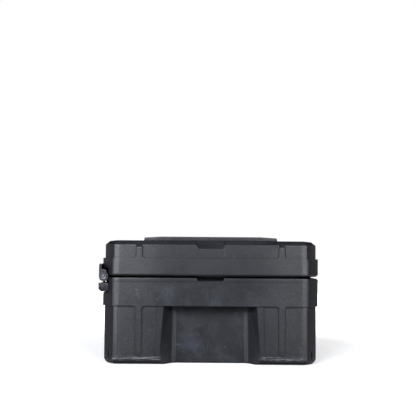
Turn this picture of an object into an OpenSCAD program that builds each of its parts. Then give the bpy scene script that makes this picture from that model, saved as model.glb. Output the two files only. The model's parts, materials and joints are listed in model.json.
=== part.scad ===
// Battery pack in a rugged stackable case.
// Origin: centre of the underside. +Z up, X across the case (latches on -X, hinge on +X), Y along it.

/* [Case] */
// Width over the two rim bands
case_w = 396; // [392:1:398]
// Length over the two rim bands
case_l = 510; // [508:1:514]
// Step from the rim bands in to the walls
band_step = 4; // [3.5:0.5:4]
// Size of the flats across the four upright corners
corner_flat = 20.5; // [18:0.5:21]
// Rounding of the upright edges
edge_r = 6; // [4:1:6]
// Rounding of the bottom edges
foot_r = 12; // [10:1:12]
// Depth of the grip recess in each end
grip_depth = 30; // [26:1:30]
// Half width of the grip recess at its back
grip_half = 68; // [60:1:70]
// Width of the upright ribs
rib_w = 11; // [9:1:12]
// Height of the raised stacking platform
platform_h = 7.9; // [5:0.1:9]

/* [Latches and hinge] */
// Radius of the latch pivot pins
latch_pin_r = 2; // [1.8:0.1:2.2]
// Radius of the hinge pins
hinge_pin_r = 2.5; // [2.2:0.1:2.6]
// Width of each hinge arm
hinge_arm_w = 40; // [30:1:44]

/* [Cells] */
// Width of one prismatic cell
cell_w = 160; // [158:0.5:160]
// Thickness of one prismatic cell
cell_t = 50; // [48:0.5:50]
// Height of one prismatic cell without its terminals
cell_h = 118.5; // [110:0.5:119]

/* [Hidden] */
$fn = 48;

// Heights, all above the ground plane
z_band0 = 105.6;   // underside of the base band
z_bead = 149.8;    // start of the proud bead under the seam
z_rim = 156.4;     // top of the base
z_lid = 159.7;     // underside of the lid
z_lidc = 163.1;    // top of the lid's lower chamfer
z_band1 = 192.1;   // top of the lid band
z_cham = 216.7;    // start of the lid's top chamfer
z_crown = 223.3;   // end of the top chamfer
z_top = 224.7;     // flat top of the lid
z_plat = z_top + platform_h;
z_solid = 128;     // underside of the solid rim
z_deck = 141;      // seat of the deck panel
deck_t = 3;
z_dt = z_deck + deck_t;
bw = case_w / 2;
bl = case_l / 2;
ww = bw - band_step;
wl = bl - band_step;
rib_x = 130;
black = [0.20, 0.20, 0.21];
steel = [0.72, 0.72, 0.74];

// Latch geometry, drawn for a half width of 197.5: the pivot sits at the seam
lp = [-194.5, 158];
lat0 = 184;
lat1 = 247;
pocket_x = 185.5;
// Hinge axis
hx = bw - 10;
hz = 145;
hinge_ys = [-150, 0, 150];

function unit(v) = v / norm(v);
// Closed outline p with each corner rounded by its own radius
function rounded(p, r, n = 4) = [for (i = [0 : len(p) - 1])
  let (m = len(p), a = p[(i + m - 1) % m], b = p[i], c = p[(i + 1) % m],
       ri = is_list(r) ? r[i] : r,
       d1 = unit(a - b), d2 = unit(c - b),
       ang = acos(max(-1, min(1, d1 * d2))),
       t = ri / tan(ang / 2),
       ctr = b + unit(d1 + d2) * (ri / sin(ang / 2)),
       s = b + d1 * t, e = b + d2 * t,
       a0 = atan2(s[1] - ctr[1], s[0] - ctr[0]),
       a1 = atan2(e[1] - ctr[1], e[0] - ctr[0]),
       da = ((a1 - a0 + 540) % 360) - 180)
  each ri <= 0 ? [b] : [for (k = [0 : n]) ctr + ri * [cos(a0 + da * k / n), sin(a0 + da * k / n)]]];

// Plan outline of the case, drawn in from the bands by d
function plan(d, n = 3) = let (a = bw - d, b = bl - d, c = max(3, corner_flat - 0.586 * d), r = max(2, edge_r - 0.5 * d))
  rounded([[a - c, -b], [a, -b + c], [a, b - c], [a - c, b], [-a + c, b], [-a, b - c], [-a, -b + c], [-a + c, -b]], r, n);
// Plain plan outline by half sizes
function oct(a, b, c) = [[a - c, -b], [a, -b + c], [a, b - c], [a - c, b], [-a + c, b], [-a, b - c], [-a, -b + c], [-a + c, -b]];

module slab(pts, z0, z1) translate([0, 0, z0]) linear_extrude(z1 - z0) polygon(pts);
// One thin layer of the case outline, for skins that bend in height
module layer(d, z) slab(plan(d), z - 0.01, z);
module box(x0, x1, y0, y1, z0, z1) translate([x0, y0, z0]) cube([x1 - x0, y1 - y0, z1 - z0]);
// Outline given as [x, z], running along Y from y0 to y1
module along_y(pts, y0, y1) translate([0, y1, 0]) rotate([90, 0, 0]) linear_extrude(y1 - y0) polygon(pts);
// Outline given as [y, z], running along X from x0 to x1
module along_x(pts, x0, x1) translate([x0, 0, 0]) rotate([90, 0, 90]) linear_extrude(x1 - x0) polygon(pts);
module rod_y(x, z, r, y0, y1) translate([x, y0, z]) rotate([-90, 0, 0]) cylinder(r = r, h = y1 - y0);
module rod_x(y, z, r, x0, x1) translate([x0, y, z]) rotate([0, 90, 0]) cylinder(r = r, h = x1 - x0);
module rod_z(x, y, r, z0, z1) translate([x, y, z0]) cylinder(r = r, h = z1 - z0);
module both_ends() { children(); rotate([0, 0, 180]) children(); }
module mirror_y() { children(); mirror([0, 1, 0]) children(); }

// Plan of the grip recess; ho is its half width at the wall, g grows it for the inner bulkhead
function grip(ho, g) = let (k = (ho - grip_half) / grip_depth, e = 9)
  rounded([[-(ho + g + k * e), -wl - e], [ho + g + k * e, -wl - e], [grip_half + g, -wl + grip_depth + g], [-(grip_half + g), -wl + grip_depth + g]],
          [0, 0, 15, 15], 5);
module grip_solid(g, z0, z1) hull() {
  slab(grip(91, g), z0, z0 + 0.01);
  slab(grip(85, g), z1 - 0.01, z1);
}

// Upright rib below the base band, standing off the end wall at y = -face
module low_rib(xc, face, out) intersection() {
  along_y(rounded([[xc - 14, 106.5], [xc - 14, z_band0], [xc - rib_w / 2, z_band0], [xc - rib_w / 2, 17], [xc + rib_w / 2, 17],
    [xc + rib_w / 2, z_band0], [xc + 14, z_band0], [xc + 14, 106.5]], [0, 0, 5, 5.2, 5.2, 5, 0, 0]), -face - 5, -face + 2);
  along_x([[-face + 2, 107], [-face - out, 107], [-face - out, 96], [-face - 1.3, 17], [-face + 2, 17]], xc - 15, xc + 15);
}
// Upright rib above the lid band, with its top cut at 45 degrees
module high_rib(xc, face, out) intersection() {
  along_y(rounded([[xc - 14, 191], [xc + 14, 191], [xc + 14, z_band1], [xc + rib_w / 2, z_band1], [xc + rib_w / 2, z_cham], [xc - rib_w / 2, z_cham],
    [xc - rib_w / 2, z_band1], [xc - 14, z_band1]], [0, 0, 0, 5, 2, 2, 5, 0]), -face - 5, -face + 2);
  along_x([[-face + 2, 190], [-face - out, 190], [-face - out, 212.5], [-face, z_cham - 0.2], [-face + 2, z_cham - 0.2]], xc - 15, xc + 15);
}
side_ribs = [-170, -57, 57, 170];

// Shallow panels in the outer walls, with a ledge at their foot
module wall_panel(x0, x1, face, x0b) along_y(rounded([[x0, z_band0 + 0.5], [x1, z_band0 + 0.5], [x1, 11], [x0b, 11]], [0, 0, 6, 8]), -face - 1, -face + 1.2);

// Moves the latch parts out or in with the wall
module at_wall() translate([197.5 - bw, 0, 0]) children();
module latch_pocket(z0, z1) at_wall() mirror_y() box(-201, -pocket_x, lat0 - 3, lat1 + 6, z0, z1);

module base_shell() color(black) difference() {
  union() {
    difference() {
      union() {
        hull() for (k = [0 : 5]) layer(band_step + foot_r * (1 - sin(18 * k)), foot_r * (1 - cos(18 * k)) + 0.01);
        slab(plan(band_step), foot_r + 0.01, z_band0 + 1);
      }
      // shallow panels in the walls
      both_ends() for (s = [0, 1]) mirror([s, 0, 0]) wall_panel(97, 168, wl, 100);
      for (a = [90, -90]) rotate([0, 0, a]) for (x = [-230, -164, -50.9, 63, 176]) wall_panel(x, x + (abs(x) > 170 ? 54 : (x == -50.9 ? 101.8 : 101)), ww, x);
    }
    slab(plan(0.6), z_band0, z_bead);
    slab(plan(0), z_bead, z_rim);
    both_ends() for (s = [-1, 1]) low_rib(s * rib_x, wl, band_step - 0.6);
    for (a = [90, -90]) rotate([0, 0, a]) for (y = side_ribs) low_rib(y, ww, band_step - 0.6);
  }
  // hollow inside, with the bulkheads behind the grips left standing
  difference() {
    union() {
      slab(oct(ww - 11, wl - 11, 12), 5, 14.1);
      slab(oct(ww - 4, wl - 4, 16), 14, z_solid);
    }
    both_ends() grip_solid(4.5, -2, 121);
  }
  slab(oct(165, 225, 10), z_solid - 1, z_deck + 1);
  slab(oct(170, 230, 12), z_deck, z_rim + 1);
  // groove for the gasket
  difference() {
    slab(oct(176.6, 236.6, 14), 153.4, z_rim + 1);
    slab(oct(171.4, 231.4, 12), 153, z_rim + 2);
  }
  // grips, each with a finger hollow under the band
  both_ends() {
    grip_solid(0, -2, z_band0);
    box(-58, 58, -wl - 0.2 + 2.4, -wl + 20, z_band0 - 1, 116);
  }
  // small upright slots low on the corner flats
  both_ends() for (s = [0, 1]) mirror([s, 0, 0]) {
    translate([ww - corner_flat / 2 + 1.2, -wl + corner_flat / 2 - 1.2, 12]) rotate([0, 0, 45]) translate([-1.5, -3, 0]) cube([3, 6, 13]);
  }
  // notch for a finger in the seam at each end
  both_ends() along_y(rounded([[-25.4, z_rim + 1], [-25.2, z_rim], [-22.5, 150.8], [22.5, 150.8], [25.2, z_rim], [25.4, z_rim + 1]], [0, 0, 2, 2, 0, 0], 3), -bl - 1, -bl + 17);
  // seam edges of the long sides
  for (s = [-1, 1]) along_y([[s * (bw + 1), z_rim + 1], [s * (bw - 4.4), z_rim + 1], [s * (bw - 3.4), z_rim], [s * bw, z_rim - 3.4], [s * (bw + 1), z_rim - 4.4]], -bl - 1, bl + 1);
  latch_pocket(129, z_rim + 2);
  // hinge pockets and pin bores
  for (y = hinge_ys) {
    box(hx - 6.5, bw + 2, y - hinge_arm_w / 2 - 1, y + hinge_arm_w / 2 + 1, 134.5, z_rim + 2);
    rod_y(hx, hz, hinge_pin_r + 0.04, y - hinge_arm_w / 2 - 15, y + hinge_arm_w / 2 + 15);
  }
  // screw holes
  at_wall() for (s = [-1, 1]) for (y = [206, 225]) rod_x(s * y, 138.8, 2.05, -186, -175);
  for (p = deck_screw_at) rod_z(p[0], p[1], 1.55, z_deck - 11, z_deck + 1);
  // bore of the pressure vent
  rod_x(113.5, 60, 6.05, ww - 8, ww + 2);
}
deck_screw_at = [[166.8, 190], [166.8, 0], [166.8, -190], [-166.8, 190], [-166.8, 0], [-166.8, -190], [90, 226.8], [-90, 226.8], [90, -226.8], [-90, -226.8]];

// Notch in the top edge of the lid for a tie-down strap
module strap_notch(face) intersection() {
  along_y(rounded([[-26.5, z_top + 2], [-25.8, 216.2], [-21, 209.2], [21, 209.2], [25.8, 216.2], [26.5, z_top + 2]], [0, 2, 3, 3, 2, 0], 3), -face - 6, -face + 18);
  along_x([[-face - 6, 209.4], [-face, 209.6], [-face + 16, z_top + 0.9], [-face + 16, z_top + 2], [-face - 6, z_top + 2]], -40, 40);
}

module lid_shell() color(black) difference() {
  union() {
    difference() {
      union() {
        hull() { layer(3.4, z_lid + 0.01); layer(0, z_lidc); layer(0, z_band1); }
        hull() {
          layer(band_step, z_band1 - 2);
          layer(band_step, z_cham);
          layer(band_step + 8, z_crown);
          layer(band_step + 20, z_top);
        }
        // stacking platform with its ends sloping off
        along_y([[-126, z_top - 1], [126, z_top - 1], [124.5, z_plat - 2.2], [123, z_plat - 1.7], [93, z_plat], [-93, z_plat], [-123, z_plat - 1.7], [-124.5, z_plat - 2.2]], -bl + 50, bl - 50);
        both_ends() for (s = [-1, 1]) high_rib(s * rib_x, wl, band_step);
        for (a = [90, -90]) rotate([0, 0, a]) for (y = side_ribs) high_rib(y, ww, band_step);
      }
      // hollow inside, leaving stiffening ribs and the backs of the strap notches
      slab(oct(170, 230, 12), z_lid - 1, 169);
      difference() {
        union() {
          slab(oct(181, 241, 14), 168, 187);
          slab(oct(ww - 4, wl - 4, 16), 186, 214);
          slab(oct(178, 238, 12), 213, 221);
          box(-117, 117, -197, 197, 220, 228);
        }
        both_ends() box(-31, 31, -bl, -bl + 22, 203, 230);
        for (s = [-1, 1]) box(s < 0 ? -bw : bw - 22, s < 0 ? -bw + 22 : bw, -31, 31, 203, 230);
        for (x = [-90, 0, 90]) box(x - 1.5, x + 1.5, -241, 241, 214, 229);
        for (y = [-150, -50, 50, 150]) box(-181, 181, y - 1.5, y + 1.5, 214, 229);
      }
      both_ends() strap_notch(wl);
      for (a = [90, -90]) rotate([0, 0, a]) strap_notch(ww);
      // shallow rounded panels in the platform
      for (i = [-1, 0, 1]) for (s = [-1, 1]) translate([s * 46, i * 128, z_plat - 1.5]) linear_extrude(4)
        polygon(rounded([[-38, -56], [38, -56], [38, 56], [-38, 56]], 9));
      latch_pocket(z_lid - 2, 173.5);
    }
    // latch lugs, hanging from a bar across the top of the pocket
    at_wall() mirror_y() {
      box(-197.3, -pocket_x + 0.2, 200, 231, 168.5, 174);
      for (y = [199, 222]) {
        rod_y(lp[0], lp[1], 4.7, y, y + 10);
        along_y([[lp[0] - 3, lp[1] + 3.6], [lp[0] + 2, lp[1] - 4.2], [-pocket_x + 0.2, z_lid + 0.5], [-pocket_x + 0.2, 173]], y, y + 10);
      }
    }
    // hinge arms
    for (y = hinge_ys) {
      rod_y(hx, hz, 5.5, y - hinge_arm_w / 2, y + hinge_arm_w / 2);
      box(hx - 5.5, hx + 5.5, y - hinge_arm_w / 2, y + hinge_arm_w / 2, hz, z_lid + 4);
    }
  }
  at_wall() mirror_y() rod_y(lp[0], lp[1], latch_pin_r + 0.03, 190, 240);
  for (y = hinge_ys) rod_y(hx, hz, hinge_pin_r + 0.09, y - hinge_arm_w / 2 - 1, y + hinge_arm_w / 2 + 1);
}

module rim_gasket() color([0.09, 0.09, 0.09]) difference() {
  slab(oct(176.5, 236.5, 14), 153.45, 159.65);
  slab(oct(171.5, 231.5, 12), 153, 160);
}

// Side outline of the latch lever's knuckle and arm
module lever_side(y0, y1) {
  rod_y(lp[0], lp[1], 8.6, y0, y1);
  along_y(rounded([[-203.1, 158], [-203.1, 179], [-201.4, 181.6], [-199.6, 181.6], [-198.3, 179.8], [-198.3, 172.4], [-196.4, 171.4], [-190, 170.6], [-188.6, 163], [-192, 156]],
    [0, 2, 0.8, 0.8, 1, 0.6, 0.6, 2, 1.5, 0], 3), y0, y1);
}
module latch_lever() difference() {
  union() {
    lever_side(lat0, 198);
    lever_side(233, lat1);
    along_y(rounded([[-203.1, 150.5], [-203.1, 179], [-201.4, 181.6], [-199.6, 181.6], [-198.3, 179.8], [-198.3, 173], [-199.6, 170], [-199.6, 152.5], [-201.2, 150.5]],
      [0, 2, 0.8, 0.8, 1, 1, 1, 0.4, 0], 3), 197, 234);
    for (y = [189, 233]) along_y([[-193, 158], [-196, 158], [-196, 142.9], [-199.3, 142.9], [-199.3, 141.5], [-195.5, 137.8], [-193, 139]], y, y + 9);
  }
  rod_y(lp[0], lp[1], latch_pin_r + 0.08, lat0 - 1, lat1 + 1);
  // seats for the pin's heads
  rod_y(lp[0], lp[1], 4.7, lat1 - 1.2, lat1 + 1);
  rod_y(lp[0], lp[1], 4.7, lat0 - 1, lat0 + 1.2);
  // grip lines across the face
  for (z = [168, 172, 176]) along_y([[-204, z - 1.2], [-202.3, z], [-204, z + 1.2]], lat0 + 7, lat1 - 7);
}
module latch_lever_front() color([0.25, 0.25, 0.27]) at_wall() mirror([0, 1, 0]) latch_lever();
module latch_lever_rear() color([0.25, 0.25, 0.27]) at_wall() latch_lever();

module latch_pins() color([0.2, 0.2, 0.21]) at_wall() mirror_y() {
  rod_y(lp[0], lp[1], latch_pin_r, lat0 + 0.4, lat1 - 0.4);
  difference() {
    union() {
      rod_y(lp[0], lp[1], 4.5, lat1 - 1.1, lat1 + 0.2);
      rod_y(lp[0], lp[1], 4.5, lat0 - 0.2, lat0 + 1.1);
    }
    rod_y(lp[0], lp[1], 1.7, lat1 - 0.4, lat1 + 1);
    rod_y(lp[0], lp[1], 1.7, lat0 - 1, lat0 + 0.4);
  }
}

// Torsion spring round the middle of each latch pin
module latch_springs() color(steel) at_wall() mirror_y() translate([lp[0], 215.5, lp[1]]) rotate([90, 0, 0]) {
  for (k = [-2.5 : 1 : 2.5]) translate([0, 0, 1.25 * k]) rotate_extrude($fn = 32) translate([3.2, 0]) circle(r = 0.68, $fn = 16);
  translate([-3.2, 0, 3.2]) rotate([-90, 0, 0]) cylinder(r = 0.6, h = 6.5, $fn = 16);
  translate([3.2, 0, -3.2]) rotate([-90, 0, 0]) cylinder(r = 0.6, h = 10.2, $fn = 16);
}

module latch_keeper() difference() {
  along_y([[-203.5, 146.5], [-203.5, 135.5], [-199, 131], [-185.6, 131], [-185.6, 146.5]], lat0, lat1);
  // hollow for the hooks
  along_y([[-200.5, 143], [-200.5, 137], [-198, 134.5], [-187.6, 134.5], [-187.6, 143]], lat0 + 3, lat1 - 3);
  for (y = [188, 232]) {
    box(-196.8, -187.7, y, y + 11, 142, 148);
    // lead-in for the hooks
    along_y([[-199.3, 147], [-196.6, 144.2], [-196.6, 147]], y, y + 11);
  }
  for (y = [206, 225]) { rod_x(y, 138.8, 2.05, -188, -185); rod_x(y, 138.8, 4.1, -205, -199); }
}
module latch_keeper_front() color([0.25, 0.25, 0.27]) at_wall() mirror([0, 1, 0]) latch_keeper();
module latch_keeper_rear() color([0.25, 0.25, 0.27]) at_wall() latch_keeper();

module keeper_screws() color(steel) at_wall() for (s = [-1, 1]) for (y = [206, 225]) difference() {
  union() { rod_x(s * y, 138.8, 2, -187.7, -176); rod_x(s * y, 138.8, 3.8, -190, -187.65); }
  translate([-190.1, s * y, 138.8]) rotate([0, 90, 0]) cylinder(r = 1.6, h = 1.5, $fn = 6);
}

module hinge_pins() color(steel) for (y = hinge_ys) rod_y(hx, hz, hinge_pin_r, y - hinge_arm_w / 2 - 14, y + hinge_arm_w / 2 + 14);

module vent_plug() color([0.13, 0.13, 0.14]) difference() {
  union() {
    rod_x(113.5, 60, 5.95, ww - 9, ww);
    rod_x(113.5, 60, 10, ww - 1.1, ww + 2.2);
  }
  for (a = [0 : 60 : 300]) translate([0, 113.5, 60]) rotate([a, 0, 0]) rod_x(0, 6, 0.9, ww + 1, ww + 3);
  rod_x(113.5, 60, 2.5, ww - 10, ww + 0.8);
}

// ---- Deck under the lid and the controls on it ----
sw = [-112, 165];      // main switch
br = [-45, 178];       // breaker
pb = [-45, 128];       // power button
so = [[15, 180], [70, 180]];   // 12 V sockets
us = [125, 180];       // USB outlet
mt = [45, 112];        // meter
cn = [[-118, 78], [-118, 38]]; // power connectors
tb = [[122, 118], [122, 62]];  // terminal blocks
cap_hinge = 22;        // hinge line behind a socket's centre
kn = z_dt + 3.1;       // underside of caps and knob

module deck_panel() color([0.27, 0.28, 0.29]) difference() {
  union() {
    slab(oct(169.6, 229.6, 12), z_deck + 0.05, z_dt);
    // raised ribs over the cell bay
    for (x = [-120, -60, 0, 60, 120]) box(x - 2, x + 2, -205, -10, z_dt - 0.1, z_dt + 2.5);
    for (y = [-205, -108, -12]) box(-122, 122, y - 2, y + 2, z_dt - 0.1, z_dt + 2.5);
  }
  for (p = deck_screw_at) rod_z(p[0], p[1], 1.7, z_deck - 1, z_dt + 1);
  rod_z(sw[0], sw[1], 24, z_deck - 1, z_dt + 1);
  rod_z(br[0], br[1], 11, z_deck - 1, z_dt + 1);
  rod_z(pb[0], pb[1], 9, z_deck - 1, z_dt + 1);
  for (p = so) rod_z(p[0], p[1], 14.1, z_deck - 1, z_dt + 1);
  box(us[0] - 19, us[0] + 19, us[1] - 11, us[1] + 11, z_deck - 1, z_dt + 1);
  box(mt[0] - 42, mt[0] + 42, mt[1] - 24, mt[1] + 24, z_deck - 1, z_dt + 1);
  for (c = cn) box(c[0] - 22, c[0] + 22, c[1] - 13, c[1] + 13, z_deck - 1, z_dt + 1);
  for (t = tb) rod_z(t[0], t[1], 4.6, z_deck - 1, z_dt + 1);
}
module deck_screws() color(steel) for (p = deck_screw_at) difference() {
  union() { rod_z(p[0], p[1], 1.5, z_deck - 10, z_dt + 0.1); rod_z(p[0], p[1], 3, z_dt + 0.05, z_dt + 2); }
  translate([p[0], p[1], z_dt + 0.8]) cylinder(r = 1.2, h = 2, $fn = 6);
}

module main_switch_body() color([0.65, 0.12, 0.10]) difference() {
  union() {
    rod_z(sw[0], sw[1], 23.9, 104, z_dt + 0.5);
    translate([0, 0, z_dt + 0.05]) linear_extrude(3) polygon(rounded([for (c = [[-30, -30], [30, -30], [30, 30], [-30, 30]]) [sw[0], sw[1]] + c], 8));
    for (s = [-1, 1]) rod_z(sw[0] + 10 * s, sw[1], 4, 94, 105);
  }
  rod_z(sw[0], sw[1], 5.08, z_dt - 12, z_dt + 4);
  for (a = [[-24, -24], [24, -24], [24, 24], [-24, 24]]) rod_z(sw[0] + a[0], sw[1] + a[1], 2.2, z_dt + 1, z_dt + 4);
}
module main_switch_knob() color([0.75, 0.10, 0.08]) translate([sw[0], sw[1], 0]) difference() {
  union() {
    rod_z(0, 0, 5, z_dt - 11, kn + 1);
    rod_z(0, 0, 21, kn + 0.1, kn + 7);
    translate([0, 0, kn + 6.9]) linear_extrude(12) polygon(rounded([[-19, -4.5], [19, -4.5], [19, 4.5], [-19, 4.5]], 4.4));
  }
  for (a = [0 : 30 : 330]) rotate([0, 0, a]) rod_z(22.4, 0, 2.6, kn, kn + 7.5);
  translate([12, -1, kn + 18]) cube([6, 2, 2]);
}

module breaker_body() color([0.14, 0.14, 0.15]) difference() {
  union() {
    rod_z(br[0], br[1], 10.9, 112, z_dt + 0.2);
    rod_z(br[0], br[1], 14, z_dt + 0.05, z_dt + 3);
    for (s = [-1, 1]) box(br[0] + 6 * s - 3, br[0] + 6 * s + 3, br[1] - 0.8, br[1] + 0.8, 102, 113);
  }
  rod_z(br[0], br[1], 5.6, z_dt - 14, z_dt + 4);
}
module breaker_button() color([0.85, 0.85, 0.83]) difference() {
  union() { rod_z(br[0], br[1], 5.5, z_dt - 8, z_dt + 5.4); }
  rotate_extrude_at(br, 6.1, z_dt + 4.2, 0.9);
}
module rotate_extrude_at(p, r, z, w) translate([p[0], p[1], z]) rotate_extrude() translate([r, 0]) circle(r = w, $fn = 20);

module power_button_bezel() color(steel) difference() {
  union() { rod_z(pb[0], pb[1], 8.9, 120, z_dt + 0.2); rod_z(pb[0], pb[1], 11.5, z_dt + 0.05, z_dt + 2); }
  rod_z(pb[0], pb[1], 6.6, z_dt - 12, z_dt + 3);
}
module power_button() color([0.3, 0.5, 0.3]) difference() {
  rod_z(pb[0], pb[1], 6.5, z_dt - 8, z_dt + 3.4);
  translate([pb[0], pb[1], z_dt + 18.2]) sphere(r = 15.4, $fn = 64);
}

module meter_housing() color([0.13, 0.13, 0.14]) difference() {
  union() {
    box(mt[0] - 41.8, mt[0] + 41.8, mt[1] - 23.8, mt[1] + 23.8, 122, z_dt + 0.2);
    translate([mt[0], mt[1], z_dt + 0.05]) linear_extrude(3.5) polygon(rounded([[-46, -28], [46, -28], [46, 28], [-46, 28]], 5));
  }
  box(mt[0] - 35.1, mt[0] + 35.1, mt[1] - 17.1, mt[1] + 17.1, z_dt + 1, z_dt + 5);
}
module meter_window() color([0.2, 0.35, 0.4]) box(mt[0] - 35, mt[0] + 35, mt[1] - 17, mt[1] + 17, z_dt + 1.05, z_dt + 2.9);

module socket_body(p) translate([p[0], p[1], 0]) difference() {
  union() {
    rod_z(0, 0, 13.9, 100, z_dt + 0.2);
    rod_z(0, 0, 17.5, z_dt + 0.05, z_dt + 3);
    for (s = [-1, 1]) box(s * 7 - 2.5, s * 7 + 2.5, 12, cap_hinge + 3, z_dt + 0.05, z_dt + 3);
    for (s = [-1, 1]) box(s * 7 - 2.5, s * 7 + 2.5, cap_hinge - 2.6, cap_hinge + 2.6, z_dt + 0.05, z_dt + 4.5);
    for (s = [-1, 1]) rod_x(cap_hinge, z_dt + 4.5, 2.6, s * 7 - 2.5, s * 7 + 2.5);
    rod_x(cap_hinge, z_dt + 4.5, 1.2, -6, 6);
    rod_z(-5, 0, 1.5, 92, 101);
    rod_z(5, 0, 1.5, 92, 101);
  }
  rod_z(0, 0, 10.5, 106, z_dt + 4);
}
module socket_cap(p) translate([p[0], p[1], 0]) difference() {
  union() {
    rod_z(0, 0, 16.5, kn, kn + 3);
    rod_z(0, 0, 10, kn - 4, kn + 0.5);
    box(-4.3, 4.3, 12, cap_hinge + 0.5, z_dt + 3.4, kn + 3);
    rod_x(cap_hinge, z_dt + 4.5, 2.6, -4.3, 4.3);
    box(-6, 6, -20, -14, kn, kn + 2);
  }
  rod_x(cap_hinge, z_dt + 4.5, 1.28, -5, 5);
  // dished top
  translate([0, 0, kn + 42.2]) sphere(r = 40, $fn = 64);
}
module socket_a_body() color([0.12, 0.12, 0.13]) socket_body(so[0]);
module socket_b_body() color([0.12, 0.12, 0.13]) socket_body(so[1]);
module socket_a_cap() color([0.16, 0.16, 0.17]) socket_cap(so[0]);
module socket_b_cap() color([0.16, 0.16, 0.17]) socket_cap(so[1]);

module usb_module() color([0.12, 0.12, 0.13]) translate([us[0], us[1], 0]) difference() {
  union() {
    box(-18.8, 18.8, -10.8, 10.8, 112, z_dt + 0.2);
    translate([0, 0, z_dt + 0.05]) linear_extrude(2.95) polygon(rounded([[-23, -15], [23, -15], [23, 15], [-23, 15]], 4));
    for (s = [-1, 1]) box(s * 12 - 3, s * 12 + 3, 12, cap_hinge - 0.5, z_dt + 0.05, z_dt + 3);
    for (s = [-1, 1]) box(s * 12 - 3, s * 12 + 3, 19.5 - 2.6, 19.5 + 2.6, z_dt + 0.05, z_dt + 4.5);
    for (s = [-1, 1]) rod_x(19.5, z_dt + 4.5, 2.6, s * 12 - 3, s * 12 + 3);
    rod_x(19.5, z_dt + 4.5, 1.2, -11, 11);
  }
  for (s = [-1, 1]) box(s * 8.5 - 6.2, s * 8.5 + 6.2, -2.6, 2.6, z_dt - 12, z_dt + 4);
}
module usb_cap() color([0.16, 0.16, 0.17]) translate([us[0], us[1], 0]) difference() {
  union() {
    translate([0, 0, kn]) linear_extrude(2.6) polygon(rounded([[-22, -16], [22, -16], [22, 13.5], [-22, 13.5]], 4));
    box(-8.7, 8.7, 12, 20, z_dt + 3.4, kn + 2.6);
    rod_x(19.5, z_dt + 4.5, 2.6, -8.7, 8.7);
  }
  rod_x(19.5, z_dt + 4.5, 1.28, -9, 9);
  for (x = [-12, -4, 4, 12]) box(x - 1, x + 1, -12, 8, kn + 2.1, kn + 4);
}

module output_connectors() color([0.45, 0.46, 0.48]) for (c = cn) translate([c[0], c[1], 0]) difference() {
  union() {
    box(-21.8, 21.8, -12.8, 12.8, 118, z_dt + 0.2);
    translate([0, 0, z_dt + 0.05]) linear_extrude(3) polygon(rounded([[-29, -16], [29, -16], [29, 16], [-29, 16]], 4));
    translate([0, 0, z_dt + 0.1]) linear_extrude(19) polygon(rounded([[-21.5, -12.5], [21.5, -12.5], [21.5, 12.5], [-21.5, 12.5]], 2));
  }
  for (s = [-1, 1]) box(s * 10.5 - 8, s * 10.5 + 8, -8.5, 8.5, 124, z_dt + 22);
  for (s = [-1, 1]) box(s * 10.5 - 8, s * 10.5 + 8, -14, -11.4, z_dt + 8, z_dt + 22);
}
module connector_contacts() color([0.80, 0.78, 0.72]) for (c = cn) for (s = [-1, 1])
  box(c[0] + s * 10.5 - 5.5, c[0] + s * 10.5 + 5.5, c[1] - 1.6, c[1] + 1.6, 124.05, z_dt + 14);

module terminal_blocks() for (i = [0, 1]) color(i == 0 ? [0.70, 0.10, 0.08] : [0.10, 0.10, 0.11]) translate([tb[i][0], tb[i][1], 0]) difference() {
  union() {
    translate([0, 0, z_dt + 0.05]) linear_extrude(8) polygon(rounded([[-22, -19], [22, -19], [22, 19], [-22, 19]], 5));
    rod_z(0, 0, 4.5, 130, z_dt + 1);
    for (s = [-1, 1]) box(s * 20 - 2, s * 20 + 2, -17, 17, z_dt + 7, z_dt + 24);
  }
  rod_z(0, 0, 4.05 - 1, 129, z_dt + 10);
}
module terminal_studs() color([0.80, 0.66, 0.35]) for (t = tb) {
  rod_z(t[0], t[1], 3, 116, z_dt + 8.2);
  rod_z(t[0], t[1], 5, z_dt + 8.1, z_dt + 16.3);
  // free end for a ring terminal
  rod_z(t[0], t[1], 4, z_dt + 16.2, z_dt + 36);
}
module terminal_nuts() color(steel) for (t = tb) difference() {
  union() {
    rod_z(t[0], t[1], 11, z_dt + 8.12, z_dt + 9.8);
    translate([t[0], t[1], z_dt + 9.7]) cylinder(r = 9.2, h = 6.5, $fn = 6);
  }
  rod_z(t[0], t[1], 5.05, z_dt + 8, z_dt + 20);
}

// ---- Cell bay ----
cell_gap = 1;                    // insulating sheet between cells
y_c0 = -208;                     // front of the cell block
cz0 = 8.2;                       // the cells stand on the floor pad
cz1 = cz0 + cell_h;
pitch = cell_t + cell_gap;
term_dx = cell_w / 2 - 22;
// Row (-1 left, 1 right) and place in the row, 0 at the front
function cx(row) = row * (cell_w / 2 + 0.5);
function cy(i) = y_c0 + cell_t / 2 + pitch * i;
block_l = 4 * cell_t + 3 * cell_gap;

module floor_pad() color([0.24, 0.25, 0.27]) box(-161, 161, y_c0 - 4, y_c0 + block_l + 4, 5.05, 8.1);

module cell(row, i) color([0.30, 0.42, 0.62]) translate([cx(row), cy(i), 0]) {
  translate([0, 0, cz0]) difference() {
    linear_extrude(cell_h) polygon(rounded([[-cell_w / 2, -cell_t / 2], [cell_w / 2, -cell_t / 2], [cell_w / 2, cell_t / 2], [-cell_w / 2, cell_t / 2]], 3));
    // vent disc and fill port
    rod_z(0, 0, 9, cell_h - 0.6, cell_h + 1);
    rod_z(22, 0, 3, cell_h - 1, cell_h + 1);
  }
  for (s = [-1, 1]) {
    box(s * term_dx - 11, s * term_dx + 11, -9, 9, cz1 - 0.1, cz1 + 2);
    rod_z(s * term_dx, 0, 3, cz1 + 1.9, cz1 + 10);
  }
}
module cell_1() cell(-1, 0);
module cell_2() cell(-1, 1);
module cell_3() cell(-1, 2);
module cell_4() cell(-1, 3);
module cell_5() cell(1, 0);
module cell_6() cell(1, 1);
module cell_7() cell(1, 2);
module cell_8() cell(1, 3);

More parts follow.
